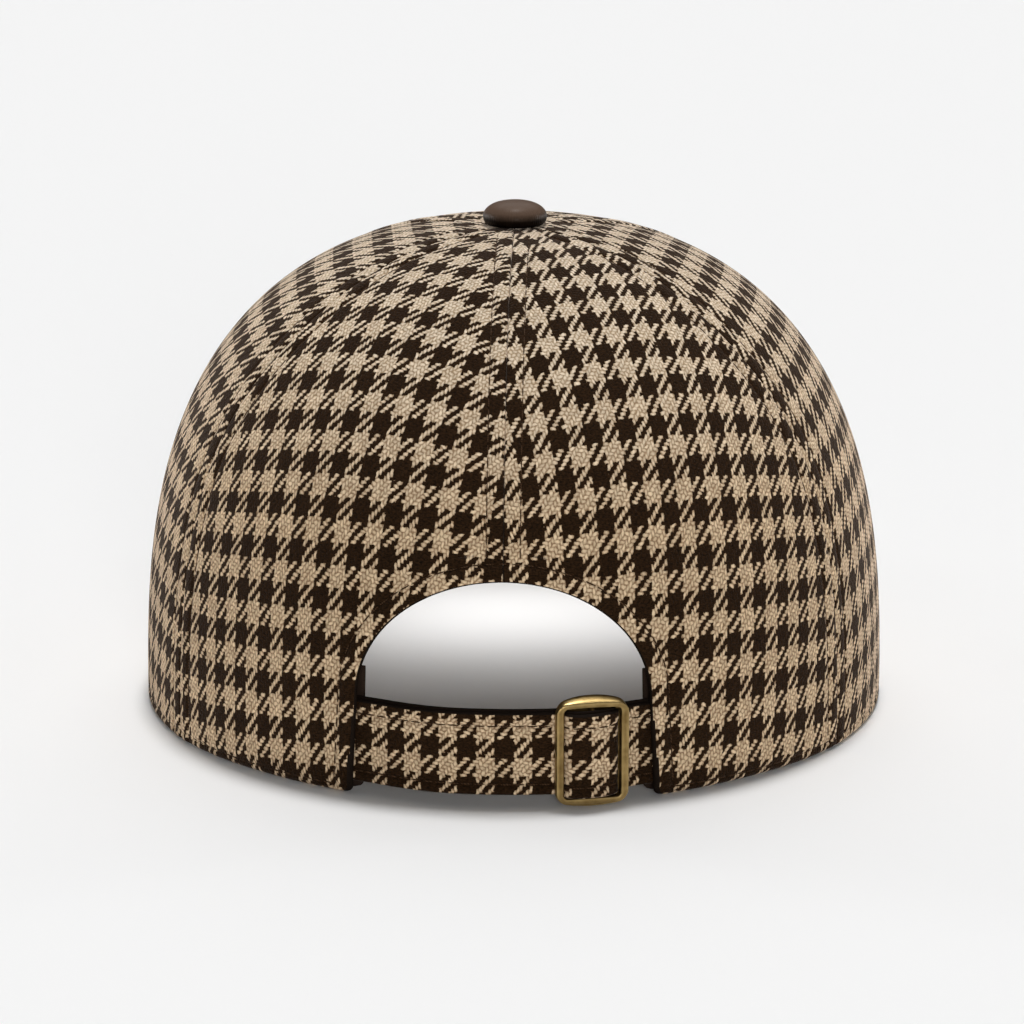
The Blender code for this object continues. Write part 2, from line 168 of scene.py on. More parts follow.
# Loose fibres catch the light at the outline of the cap, more on the light yarn.
bloom = add(tree, "MapRange", (light, 0.0, 1.0, 0.1, 0.42))
tone = add(tree, "MapRange", (tone, 0.0, 1.0, 0.86, 1.06))
toned = add(tree, "VectorMath", (cloth_colour, tone), operation="MULTIPLY")
nap = add(tree, "Math", (fuzz, 0.35, height), operation="MULTIPLY_ADD")
nap = add(tree, "Math", (fibres, 0.3, nap), operation="MULTIPLY_ADD")
bump = add(tree, "Bump", {"Strength": 0.78, "Distance": 0.2 * MM, "Height": nap})
shader = add(tree, "BsdfPrincipled", {
    "Base Color": toned, "Normal": bump, "Roughness": 0.95, "Specular IOR Level": 0.06,
    "Sheen Weight": bloom, "Sheen Roughness": 0.3, "Sheen Tint": colour("#FFEADA")})
add(tree, "OutputMaterial", {"Surface": shader})

# Cotton tape, woven fine and dyed dark brown: matt, nearly black in the shade. It faces the hems inside,
# and its dark colour also stands as painted shade on folded edges of the cloth outside.
tape_and_painted_shade, tree = new_material("cotton_tape_and_painted_shade")
here = add(tree, "TexCoord")
mottle = add(tree, "TexNoise", {"Vector": here.outputs["Object"], "Scale": 1800.0, "Detail": 2.0})
tape_and_shade_colour = add(tree, "MixRGB", (mottle, colour("#0C0704"), colour("#20150C")))
bump = add(tree, "Bump", {"Strength": 0.5, "Distance": 0.1 * MM, "Height": mottle})
shader = add(tree, "BsdfPrincipled", {
    "Base Color": tape_and_shade_colour, "Normal": bump, "Roughness": 0.85, "Specular IOR Level": 0.12})
add(tree, "OutputMaterial", {"Surface": shader})


# ---------------------------------------------------------------- the six gores of the crown
# Each gore is one shaped piece of the cloth with its edges folded in, sewn to the next along the seams.
# The two at the back are cut away and hemmed round the opening, and the rim is folded under all round.

CROWN_HALF_WIDTH = 88.5
CROWN_HALF_LENGTH = 100.3
CROWN_HEIGHT = 113.5
SPREAD_POWER = 2.48
LIFT_POWER = 2.75
SEAM_LEAN, SEAM_LEAN_START, SEAM_LEAN_RUN = math.radians(8.6), 0.25, 0.5
APEX_HOLE = 3.0
HALF_WALL = 0.9
PEAK_CORNER_TURN = math.radians(112)
BROW_RISE = 13.0
ARCH_HALF_WIDTH = 33.3
ARCH_FOOT_HALF_WIDTH = 34.5
ARCH_SPRING = 23.1
ARCH_RISE = 27.7
FOOT_CORNER = 2.6
# Half of the opening's edge, up its leg and along a quarter of its ellipse, is about this long.
ARCH_LENGTH = ARCH_SPRING + 1.57 * (ARCH_HALF_WIDTH + ARCH_RISE) / 2
# The climb of the hole at the top, which the button covers.
TOP_CLIMB = 2 / np.pi * np.arccos((APEX_HOLE / CROWN_HALF_WIDTH) ** (SPREAD_POWER / 2))
# The cloth gets points at these distances from an edge, close together where it folds and is stitched.
BORDER = np.array([0.0, 0.06, 0.24, 0.52, 0.9, 1.3, 1.75, 2.2, 2.65, 3.1, 3.5, 3.85, 4.2, 4.55, 4.9,
                   5.4, 6.2])
BORDER_WIDTH = BORDER[-1]
# A gore narrower than this many borders has narrower borders.
FULL_BORDERS = 2.6
GORE_ROWS, GORE_COLUMNS = 110, 44
# On a back gore the rows that start at the opening end below SIDE_CORNER on the side seam. Those above
# them start at the centre seam, and are spaced as on a seam of UPPER_WAY.
LOWER_ROWS, UPPER_ROWS, BACK_COLUMNS = 76, 70, 48
SIDE_CORNER, UPPER_WAY = 40.0, 110
SEAM_FOLD, HEM_FOLD = 0.25, 0.9
# How far the hem rolls under at the back and beside the ears, and over what height. From one share of the
# crown's half width on, and over the other, the roll at the back passes into the one at the sides.
HEM_ROLL, SIDE_ROLL, HEM_ROLL_HEIGHT = 1.9, 0.3, 4.0
ROLL_FADES_FROM, ROLL_FADES_OVER = 0.6, 0.3
SEAM_STITCH, ARCH_STITCH, RIM_STITCH = 4.3, 4.0, 2.2
ARCH_PULL, RIM_PULL = 1.2, 0.6
STITCH_DIP, STITCH_REACH, STITCH_SWELL = 0.3, 0.42, 0.22
# A seam lies flat up to this far from the hole under the button, and dips fully this much further out.
FLAT_SEAM, FLAT_SEAM_RUN = 6, 8
# One repeat of the houndstooth is this wide and high on the crown.
REPEAT = np.array([8.05, 10.25])
STAR_MIDDLE = YARNS / 2

middle = sum(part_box("top_button"), Vector()) / 2
crown_middle = np.array([middle.x, middle.y, 0.0]) / MM


def ease(share):
    """0 up to 0, 1 from 1, and a smooth rise between them."""
    share = np.clip(share, 0.0, 1.0)
    return share * share * (3 - 2 * share)


def crown(turn, climb):
    """Points outside on the dome."""
    spread = np.clip(np.cos(climb * np.pi / 2), 0, 1) ** (2 / SPREAD_POWER)
    lift = np.clip(np.sin(climb * np.pi / 2), 0, 1) ** (2 / LIFT_POWER)
    x, y = CROWN_HALF_WIDTH * spread * np.sin(turn), -CROWN_HALF_LENGTH * spread * np.cos(turn)
    return np.stack(np.broadcast_arrays(x, y, CROWN_HEIGHT * lift), axis=-1)


def outwards(points):
    """The way straight out of the dome at points on it."""
    x, y, z = np.moveaxis(points, -1, 0)
    spread = np.maximum(np.hypot(x / CROWN_HALF_WIDTH, y / CROWN_HALF_LENGTH), 1e-6)
    side = SPREAD_POWER * spread ** (SPREAD_POWER - 2)
    up = LIFT_POWER * (np.maximum(z, 0) / CROWN_HEIGHT) ** (LIFT_POWER - 1) / CROWN_HEIGHT
    way = np.stack((side * x / CROWN_HALF_WIDTH ** 2, side * y / CROWN_HALF_LENGTH ** 2, up), axis=-1)
    return way / np.linalg.norm(way, axis=-1, keepdims=True)


def climb_at_height(height):
    return 2 / np.pi * np.arcsin(np.clip(height / CROWN_HEIGHT, 0, 1) ** (LIFT_POWER / 2))


def seam_turn(seam, climb):
    """Where a seam, counted from the back, crosses the dome: those beside the ears lean away from them."""
    turn = seam * np.pi / 3
    return turn - SEAM_LEAN * ease((climb - SEAM_LEAN_START) / SEAM_LEAN_RUN) * np.sin(2 * turn)


def brow_rise(turn):
    """How far the rim stands above the table: most at the front, over the peak."""
    from_front = np.abs(np.pi - np.mod(turn, 2 * np.pi))
    share = np.maximum(1 - from_front / (np.pi - PEAK_CORNER_TURN), 0)
    return BROW_RISE * (1 - np.cos(np.pi * share)) / 2


def meridian(turn):
    """Climbs up the dome at one turn, and how far along the cloth each is from the table."""
    climbs = np.linspace(0, 1, 800)
    steps = np.linalg.norm(np.diff(crown(turn, climbs), axis=0), axis=1)
    return climbs, np.concatenate(([0.0], np.cumsum(steps)))


def arch_leg(height):
    """How far out the opening's legs are at a height: they spread to the rim, where a corner turns out."""
    leg = ARCH_HALF_WIDTH + (ARCH_FOOT_HALF_WIDTH - ARCH_HALF_WIDTH) * (1 - height / ARCH_SPRING)
    above = np.clip(FOOT_CORNER - height, 0, FOOT_CORNER)
    return leg + FOOT_CORNER - np.sqrt(FOOT_CORNER ** 2 - above ** 2)


def arch_outline(share, out, mitred=True):
    """Across and height of the right half of the back opening, a distance out into the cloth."""
    leg = ARCH_SPRING / ARCH_LENGTH
    share, out = np.broadcast_arrays(share, out)
    height = ARCH_SPRING * np.minimum(share / leg, 1)
    # Mitred, it ends where it meets the same offset of the centre seam, and otherwise on the seam.
    last = np.arccos(mitred * out / (ARCH_HALF_WIDTH + out * ARCH_RISE / ARCH_HALF_WIDTH))
    angle = last * np.clip((share - leg) / (1 - leg), 0, 1)
    slope = np.stack((ARCH_RISE * np.cos(angle), ARCH_HALF_WIDTH * np.sin(angle)))
    slope = slope / np.linalg.norm(slope, axis=0) * out
    curved_across = ARCH_HALF_WIDTH * np.cos(angle) + slope[0]
    curved_height = ARCH_SPRING + ARCH_RISE * np.sin(angle) + slope[1]
    on_leg = share < leg
    return np.where(on_leg, arch_leg(height) + out, curved_across), np.where(on_leg, height, curved_height)


def from_arch(points):
    """How far points on a back gore are from the opening's edge, as seen from behind."""
    x, z = np.abs(points[..., 0]), points[..., 2]
    across, up = x / ARCH_HALF_WIDTH, (z - ARCH_SPRING) / ARCH_RISE
    size = np.maximum(np.hypot(across, up), 1e-6)
    slope = np.hypot(across / ARCH_HALF_WIDTH, up / ARCH_RISE) / size
    return np.where(z < ARCH_SPRING, x - arch_leg(z), (size - 1) / slope)


def seam_distance(seam, turn, climb):
    """How far points are from a seam along the cloth."""
    radius = np.linalg.norm(crown(turn, climb)[..., :2], axis=-1)
    return radius * np.abs(turn - seam_turn(seam, climb))


def border_share(width):
    """How much of its full width a border keeps where the gore is this wide."""
    return np.minimum(1, width / (FULL_BORDERS * BORDER_WIDTH))


def spread_columns(width, count):
    """Shares of the way across a gore of these widths: the border at each side, and even steps between."""
    edge = BORDER * border_share(width)[:, None] / width[:, None]
    between = edge[:, -1:] + (1 - 2 * edge[:, -1:]) * np.linspace(0, 1, count + 2)[1:-1]
    return np.concatenate((edge, between, 1 - edge[:, ::-1]), axis=1)


def spread_rows(top, count):
    """Distances up a seam to its top: the border, even steps, and a short border under the button."""
    return np.concatenate((BORDER, np.linspace(BORDER_WIDTH, top, count)[1:-4], top - BORDER[4::-1]))


def whole_gore(seam):
    """Turns and climbs for a gore that runs from the rim to the top between two seams."""
    climbs, way = meridian(seam_turn(seam + 0.5, 0.0))
    top = np.interp(TOP_CLIMB, climbs, way)
    rises = (spread_rows(top, GORE_ROWS) / top)[:, None]
    row_climb = np.interp(rises * top, way, climbs)
    first, last = seam_turn(seam, row_climb), seam_turn(seam + 1, row_climb)
    radius = np.linalg.norm(crown((first + last) / 2, row_climb)[..., :2], axis=-1)
    share = spread_columns((radius * (last - first))[:, 0], GORE_COLUMNS)
    low = np.interp(climb_at_height(brow_rise(seam_turn(seam + share, 0.0))), climbs, way)
    climb = np.interp(low + (top - low) * rises, way, climbs)
    first, last = seam_turn(seam, climb), seam_turn(seam + 1, climb)
    return first + share * (last - first), climb


def arched_gore():
    """Turns and climbs for the right back gore: up the opening and the centre seam, across to the side."""
    climbs, way = meridian(0.0)
    side_climbs, side_way = meridian(np.pi / 3)
    side_top = np.interp(TOP_CLIMB, side_climbs, side_way)
    arch_rows, side_rows = (np.concatenate((BORDER, np.linspace(BORDER_WIDTH, length, LOWER_ROWS)[1:]))
                            for length in (ARCH_LENGTH, SIDE_CORNER))
    x, z = arch_outline(arch_rows[:, None] / ARCH_LENGTH, BORDER[None, :])
    left_climb = climb_at_height(z)
    spread = np.cos(left_climb * np.pi / 2) ** (2 / SPREAD_POWER)
    left_turn = np.arcsin(x / (CROWN_HALF_WIDTH * spread))
    # Above the opening the rows start at the mitre, first close together and then evenly.
    share = spread_rows(UPPER_WAY, UPPER_ROWS)[1:] / UPPER_WAY
    start = np.interp(left_climb[-1], climbs, way)
    end = np.interp(TOP_CLIMB, climbs, way)
    upper_climb = np.interp(start + (end - start) * share[:, None], way, climbs)
    radius = np.linalg.norm(crown(0.0, upper_climb)[..., :2], axis=-1)
    radius = radius * CROWN_HALF_WIDTH / CROWN_HALF_LENGTH
    upper_turn = BORDER * border_share(radius * np.pi / 3) / radius
    left_turn = np.concatenate((left_turn, upper_turn))
    left_climb = np.concatenate((left_climb, upper_climb))
    side_rows = np.concatenate((side_rows, SIDE_CORNER + (side_top - SIDE_CORNER) * share))
    right_climb = np.interp(side_rows, side_way, side_climbs)[:, None]
    seam = seam_turn(1, right_climb)
    radius = np.linalg.norm(crown(seam, right_climb)[..., :2], axis=-1)
    right_turn = seam - BORDER[::-1] * border_share(radius * np.pi / 3) / radius
    right_climb = np.repeat(right_climb, len(BORDER), axis=1)
    share = np.linspace(0, 1, BACK_COLUMNS)[1:-1]
    between = [left[:, -1:] + (right[:, :1] - left[:, -1:]) * share
               for left, right in ((left_turn, right_turn), (left_climb, right_climb))]
    turn = np.concatenate((left_turn, between[0], right_turn), axis=1)
    climb = np.concatenate((left_climb, between[1], right_climb), axis=1)
    return turn, climb


def cloth_place(points, centre):
    """Where points of a gore lie on its flat cloth: across from its middle line, along it from the rim."""
    way_out = np.array([CROWN_HALF_WIDTH * np.sin(centre), -CROWN_HALF_LENGTH * np.cos(centre)])
    way_out /= np.linalg.norm(way_out)
    side = np.array([-way_out[1], way_out[0]])
    climbs, way = meridian(centre)
    line = crown(centre, climbs)
    line = np.stack((line[:, :2] @ way_out, line[:, 2]), axis=-1)
    flat = np.stack((points[..., :2] @ way_out, points[..., 2]), axis=-1).reshape(-1, 1, 2)
    nearest = np.linalg.norm(flat - line, axis=-1).argmin(axis=1)
    nearest = np.clip(nearest, 1, len(line) - 2)
    ahead = line[nearest + 1] - line[nearest - 1]
    ahead /= np.linalg.norm(ahead, axis=-1, keepdims=True)
    offset = flat[:, 0] - line[nearest]
    along = way[nearest] + (offset * ahead).sum(axis=-1)
    inwards = np.maximum(np.abs(offset[:, 0] * ahead[:, 1] - offset[:, 1] * ahead[:, 0]), 1e-4)
    across = (points[..., :2] @ side).reshape(-1)
    radius = (across ** 2 + inwards ** 2) / (2 * inwards)
    across = radius * np.arctan2(across, radius - inwards)
    return across.reshape(points.shape[:-1]), along.reshape(points.shape[:-1])


def in_frame(points):
    """From millimetres about the crown's middle to the frame's metres."""
    return (points + crown_middle) * MM


def lay(mesh, places, cloth, inside=False, tape_look=None):
    """Adds a sheet whose points come from a table of places, rows upwards, with its threads as a UV map.

    Where all of a face's points have the tape look it takes the piece's second look, the tape's dark
    colour:
    real tape inside, and painted shade on folded edges outside.
    """
    rows, columns = places.shape[:2]
    made = bmesh.ops.create_grid(mesh, x_segments=columns - 1, y_segments=rows - 1, size=0.5)
    threads = mesh.loops.layers.uv.get("threads") or mesh.loops.layers.uv.new("threads")
    places = in_frame(places)
    tape_look_points = set()
    for point in made["verts"]:
        column = round((point.co.x + 0.5) * (columns - 1))
        row = round((point.co.y + 0.5) * (rows - 1))
        point.co = places[row, column]
        for corner in point.link_loops:
            corner[threads].uv = cloth[row, column]
        if tape_look is not None and tape_look[row, column]:
            tape_look_points.add(point)
    faces = list({face for point in made["verts"] for face in point.link_faces})
    for face in faces:
        face.material_index = int(tape_look_points.issuperset(face.verts))
    if inside:
        bmesh.ops.reverse_faces(mesh, faces=faces)


def put(name, data):
    """Adds an object to the scene."""
    made = bpy.data.objects.new(name, data)
    bpy.context.collection.objects.link(made)
    return made


def close_and_finish(name, mesh, node, slot, *looks):
    """Welds the sheets where they meet, and makes the piece that stands for a solid of the frame."""
    bmesh.ops.remove_doubles(mesh, verts=mesh.verts, dist=0.002 * MM)
    data = bpy.data.meshes.new(name)
    mesh.to_mesh(data)
    mesh.free()
    for look in looks:
        data.materials.append(look)
    data.shade_smooth()
    piece = put(name, data)
    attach(piece, "root")
    if node:
        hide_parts(node)


def fold(distance, radius):
    """How much of its half thickness the cloth has at a distance from a folded edge."""
    return np.sqrt(1 - (1 - np.clip(distance / radius, 0, 1)) ** 2)


def stitch_line(distance, at):
    """How far stitches pull the cloth in at a distance from its edge, or it stands up beside them."""
    dip = -STITCH_DIP * np.exp(-((distance - at) / STITCH_REACH) ** 2)
    return dip + STITCH_SWELL * np.sin(np.pi * np.clip(distance / at, 0, 1))


# How each gore's cloth is cut from the piece: how far across its middle a column of stars stands at
# LAY_LEVEL, how far along a row lies, and how much the columns lean and the rows slope, are eased longer
# and fan out.
GORE_CUTS = {
    # gore: (seam, across, lean, along, slope, stretch, fan)
    "back_right": (0, 0.15, 0.073, -2.34, -0.0187, 0.0, 0.00086),
    "side_right": (1, -0.65, 0.086, 3.92, 0.046, -0.0675, -0.0023),
    "front_right": (2, 1.7, 0.03, -0.5, 0.012, 0.0, 0.0),
    "front_left": (3, -0.9, -0.05, 2.3, -0.02, 0.0, 0.0),
    "side_left": (4, 0.34, 0.026, -1.29, -0.039, -0.027, 0.0017),
    "back_left": (5, -2.61, -0.0216, -1.95, 0.0327, 0.0, -0.00105),
}
LAY_LEVEL = 61.1
# A tape behind the hem covers its raw edge. Its dark colour also stands as painted shade on the hem's fold
# round the opening, in a thin lip, wider low down.
SHADE_LIP, FOOT_SHADE_LIP, TAPE_WIDTH = 0.45, 0.75, 7.0

for name, (seam, across, lean, along, slope, stretch, fan) in GORE_CUTS.items():
    at_back = name.startswith("back")
    if at_back:
        turn, climb = arched_gore()
        if seam:
            turn, climb = -turn[:, ::-1], climb[:, ::-1]
    else:
        turn, climb = whole_gore(seam)
    base = crown(turn, climb)
    out = outwards(base)
    signed_seams = (seam, seam + 1) if seam < 3 or not at_back else (-1, 0)
    to_seams = [seam_distance(edge, turn, climb) for edge in signed_seams]
    to_rim = base[..., 2] - brow_rise(turn)
    to_top = np.maximum(np.linalg.norm(base[..., :2], axis=-1) - APEX_HOLE, 0)
    half = HALF_WALL * fold(to_rim, HEM_FOLD) * fold(to_top, HEM_FOLD)
    for distance in to_seams:
        half = half * fold(distance, SEAM_FOLD)
    flat_top = ease((to_top - FLAT_SEAM) / FLAT_SEAM_RUN)
    relief = sum(stitch_line(distance, SEAM_STITCH) for distance in to_seams) * flat_top
    relief = relief + stitch_line(to_rim, RIM_STITCH) * RIM_PULL
    if at_back:
        to_arch = np.maximum(from_arch(base), 0)
        half = half * fold(to_arch, HEM_FOLD)
        relief = relief + stitch_line(to_arch, ARCH_STITCH) * ARCH_PULL
    beside = ease((np.abs(base[..., 0]) / CROWN_HALF_WIDTH - ROLL_FADES_FROM) / ROLL_FADES_OVER)
    roll = HEM_ROLL + (SIDE_ROLL - HEM_ROLL) * beside
    tuck = -roll * np.clip(1 - to_rim / HEM_ROLL_HEIGHT, 0, 1) ** 2
    to_hem = np.minimum(to_rim, to_arch) if at_back else to_rim
    # Painted shade: the hem's fold round the opening takes the tape's dark colour this far in.
    shade_lip = SHADE_LIP + FOOT_SHADE_LIP * (1 - ease(base[..., 2] / ARCH_SPRING))
    centre = np.pi / 3 * (sum(signed_seams) / 2)
    u, v = cloth_place(base, centre)
    up = v - LAY_LEVEL
    across_cloth = u - across - lean * up
    along_cloth = v - along - slope * u - stretch * up - fan * u * up
    cloth = np.stack((across_cloth, along_cloth), axis=-1) / REPEAT * 2 * YARNS + STAR_MIDDLE
    mesh = bmesh.new()
    face = base + out * (half - HALF_WALL + relief * (half / HALF_WALL) + tuck)[..., None]
    back = base + out * (tuck - half - HALF_WALL)[..., None]
    lay(mesh, face, cloth, tape_look=to_arch < shade_lip if at_back else None)
    lay(mesh, back, cloth, inside=True, tape_look=to_hem < TAPE_WIDTH)
    close_and_finish("gore_" + name, mesh, "panel_" + name, "houndstooth_cloth", twill, tape_and_painted_shade)


# ---------------------------------------------------------------- the stitching
# Lockstitch in brown thread: a row along each side of every seam holds its folded edges down, one row holds
# the hem of the back opening and one the rim. Each stitch is a short grain pulled a little into the cloth.

# Spun polyester: nearly matt, with a fine twist along each stitch.
thread, tree = new_material("spun_polyester_thread")
here = add(tree, "TexCoord")
twist = add(tree, "TexWave", {"Vector": here.outputs["Object"], "Scale": 900.0, "Distortion": 2.0},
            bands_direction="DIAGONAL")
thread_colour = add(tree, "MixRGB", (twist, colour("#281A10"), colour("#543C27")))
shader = add(tree, "BsdfPrincipled", {
    "Base Color": thread_colour, "Roughness": 0.7, "Specular IOR Level": 0.12})
add(tree, "OutputMaterial", {"Surface": shader})

STITCH_PITCH, STITCH_LENGTH, STITCH_WIDTH = 2.9, 2.5, 0.36
STITCH_DEPTH, RIM_STITCH_DEPTH = 0.2, 0.35
# The seams' rows start this far over the opening's row or the rim, and end at this climb, by the button.
OVER_ARCH, OVER_RIM, SEAM_ROW_TOP = 0.8, 3.4, 0.955


def sew(mesh, line, out):
    """Adds a row of stitches along a line of points, with the ways out of the cloth there."""
    way = np.concatenate(([0.0], np.cumsum(np.linalg.norm(np.diff(line, axis=0), axis=1))))
    count = int(way[-1] / STITCH_PITCH)

    def along(table, distance):
        return Vector([np.interp(distance, way, table[:, k]) for k in range(3)])

    for middle in (np.arange(count) + 0.5) * way[-1] / count:
        ahead = along(line, middle + STITCH_LENGTH / 2) - along(line, middle - STITCH_LENGTH / 2)
        up = along(out, middle).normalized()
        side = up.cross(ahead).normalized()
        depth = side.cross(ahead).normalized()
        axes = Matrix((side * STITCH_WIDTH, depth * STITCH_WIDTH, ahead)).transposed()
        place = Matrix.Translation(Vector(in_frame(np.array(along(line, middle)))))
        bmesh.ops.create_uvsphere(mesh, u_segments=6, v_segments=5, radius=0.5 * MM,
                                  matrix=place @ axes.to_4x4())


def sew_on_crown(mesh, turn, climb, depth=STITCH_DEPTH):
    base = crown(turn, climb)
    out = outwards(base)
    sew(mesh, base - depth * out, out)


mesh = bmesh.new()
for seam in range(6):
    low = brow_rise(seam_turn(seam, 0.0)) + OVER_RIM
    if seam == 0:
        low = ARCH_SPRING + ARCH_RISE + ARCH_STITCH + OVER_ARCH
    climb = np.linspace(climb_at_height(low), SEAM_ROW_TOP, 400)
    radius = np.linalg.norm(crown(seam_turn(seam, climb), climb)[:, :2], axis=-1)
    for side in (-1, 1):
        sew_on_crown(mesh, seam_turn(seam, climb) + side * SEAM_STITCH / radius, climb)
close_and_finish("seam_stitching", mesh, None, "houndstooth_cloth", thread)

mesh = bmesh.new()
x, z = arch_outline(np.linspace(0.05, 1, 200), ARCH_STITCH, mitred=False)
climb = climb_at_height(np.concatenate((z, z[::-1])))
spread = np.cos(climb * np.pi / 2) ** (2 / SPREAD_POWER)
sew_on_crown(mesh, np.arcsin(np.concatenate((x, -x[::-1])) / (CROWN_HALF_WIDTH * spread)), climb)
foot_turn = math.asin((ARCH_FOOT_HALF_WIDTH + ARCH_STITCH) / CROWN_HALF_WIDTH)
for side in (-1, 1):
    turn = side * np.linspace(foot_turn, PEAK_CORNER_TURN, 300)
    sew_on_crown(mesh, turn, climb_at_height(brow_rise(turn) + RIM_STITCH), depth=RIM_STITCH_DEPTH)
close_and_finish("hem_stitching", mesh, None, "houndstooth_cloth", thread)


# ---------------------------------------------------------------- the sweatband
# A band of dark brown cotton twill with both edges folded in, sewn inside the rim round the head. It ends
# at the back opening, where its ends show as dark edges, and makes room there for the strap.

BAND_THICKNESS = 1.2
BAND_FOOT, BAND_HEIGHT = 0.6, 28.9
BAND_END_TURN, BAND_CORNER = math.radians(22.3), 2.4
# Past the strap's ends the band comes back to the gores, from one of these turns on and over the other.
BAND_EASE_START, BAND_EASE_TURN = math.radians(1), math.radians(9)
BAND_EDGE = np.array([0, 0.06, 0.25, 0.6])
BAND_YARN, MEAN_RADIUS = 0.5, 95
STRAP_END_TURN = math.radians(31.0)
STRAP_SEAT, STRAP_THICKNESS = 0.6, 1.8
CLEAR = 0.3

# Cotton twill: a fine slanting rib, matt, a shade lighter than the tape.
band_twill, tree = new_material("cotton_twill_band")
threads = add(tree, "UVMap", uv_map="threads")
rib = add(tree, "TexWave", {"Vector": threads, "Scale": 0.6, "Distortion": 0.6}, bands_direction="DIAGONAL")
fuzz = add(tree, "TexNoise", {"Vector": threads, "Scale": 3.0, "Detail": 2.0})
rib = add(tree, "Math", (fuzz, 0.6, rib.outputs["Fac"]), operation="MULTIPLY_ADD")
band_colour = add(tree, "MixRGB", (rib, colour("#120C09"), colour("#35261C")))
bump = add(tree, "Bump", {"Strength": 0.6, "Distance": 0.12 * MM, "Height": rib})
shader = add(tree, "BsdfPrincipled", {
    "Base Color": band_colour, "Normal": bump, "Roughness": 0.88, "Specular IOR Level": 0.2})
add(tree, "OutputMaterial", {"Surface": shader})

band_rows = np.concatenate((BAND_EDGE, np.linspace(BAND_THICKNESS, BAND_HEIGHT - BAND_THICKNESS, 24),
                            BAND_HEIGHT - BAND_EDGE[::-1]))[:, None]
band_length = 2 * math.pi - 2 * BAND_END_TURN
end_share = BAND_EDGE / (CROWN_HALF_WIDTH * band_length)
band_share = np.concatenate((end_share, np.linspace(0.002, 0.998, 300), 1 - end_share[::-1]))
turn = BAND_END_TURN + band_length * band_share
from_end = np.minimum(turn - BAND_END_TURN, BAND_END_TURN + band_length - turn) * CROWN_HALF_WIDTH
corner = np.clip(BAND_CORNER - from_end, 0, BAND_CORNER)
corner = (BAND_CORNER - np.sqrt(BAND_CORNER ** 2 - corner ** 2)) * (1 - band_rows / BAND_HEIGHT)
base = crown(turn, climb_at_height(brow_rise(turn) + BAND_FOOT + band_rows + corner))
from_back = np.minimum(turn, 2 * math.pi - turn)
close = 2 * HALF_WALL + CLEAR
behind_strap = 2 * HALF_WALL + STRAP_SEAT + STRAP_THICKNESS + CLEAR
to_gores = ease((from_back - STRAP_END_TURN - BAND_EASE_START) / BAND_EASE_TURN)
depth = behind_strap + (close - behind_strap) * to_gores + BAND_THICKNESS / 2
half = BAND_THICKNESS / 2 * fold(from_end, BAND_THICKNESS / 2)
half = half * fold(np.minimum(band_rows, BAND_HEIGHT - band_rows), BAND_THICKNESS / 2)
out = outwards(base)
cloth = np.stack(np.broadcast_arrays(turn * MEAN_RADIUS, band_rows), axis=-1) / BAND_YARN
mesh = bmesh.new()
lay(mesh, base - out * (depth - half)[..., None], cloth)
lay(mesh, base - out * (depth + half)[..., None], cloth, inside=True)
close_and_finish("sweatband_cloth", mesh, "sweatband", "brown_band", band_twill)


# ---------------------------------------------------------------- the peak
# Two layers of the same cloth over a stiff board, turned in at the edge, the root sewn into the brow seam.
# The cap hides it in the photograph, so it is plain: one row of stitches holds its edge.

PEAK_THICKNESS = 3.0
PEAK_PROJECTION, PEAK_HALF_WIDTH = 68.0, 86.0
PEAK_EDGE_POWER, PEAK_EDGE_RISE, PEAK_CAMBER = 2.3, 10.5, 2.0
PEAK_ROOT_DEPTH = 0.1
PEAK_COLUMNS, PEAK_ROWS = 161, 46
PEAK_REPEAT = 8.4
PEAK_STITCH = 5.0
# The stitches pull the cloth in where the peak reaches out further than this, and fully this much on.
PULL_FROM, PULL_OVER = 6, 12
UPWARDS = np.array([0.0, 0.0, 1.0])

corner = crown(PEAK_CORNER_TURN, 0.0)
edge_length = CROWN_HALF_LENGTH + PEAK_PROJECTION - corner[1]


def peak_point(share, out):
    """Points on the peak's top: share runs from -1 at the left corner to 1, out from brow to edge."""
    turn = np.pi - share * (np.pi - PEAK_CORNER_TURN)
    root = crown(turn, climb_at_height(brow_rise(turn) + PEAK_THICKNESS))
    root = root - PEAK_ROOT_DEPTH * outwards(root)
    angle = share * np.pi / 2
    edge = np.stack((
        np.sign(share) * PEAK_HALF_WIDTH * np.abs(np.sin(angle)) ** (2 / PEAK_EDGE_POWER),
        corner[1] + edge_length * np.abs(np.cos(angle)) ** (2 / PEAK_EDGE_POWER),
        PEAK_THICKNESS + PEAK_EDGE_RISE * np.cos(angle) ** 2), axis=-1)
    point = root + (edge - root) * out[..., None]
    point[..., 2] += PEAK_CAMBER * 4 * out * (1 - out) * np.cos(angle)
    return point


share = np.sin(np.linspace(-np.pi / 2, np.pi / 2, PEAK_COLUMNS))[None, :]
reach = peak_point(share, np.ones((1, 1))) - peak_point(share, np.zeros((1, 1)))
length = np.linalg.norm(reach, axis=-1)
inset = np.concatenate((BORDER, [7.2, 8.6]))
edge_width = np.minimum(length, inset[-1])
from_edge = np.concatenate((edge_width + np.linspace(1, 0, PEAK_ROWS)[:-1, None] * (length - edge_width),
                            inset[::-1, None] / inset[-1] * edge_width))
out = 1 - from_edge / np.maximum(length, 1e-6)
top = peak_point(share, np.clip(out, 0, 1))
half_peak = PEAK_THICKNESS / 2
half = half_peak * fold(from_edge, half_peak)
relief = stitch_line(from_edge, PEAK_STITCH) * ease((length - PULL_FROM) / PULL_OVER)
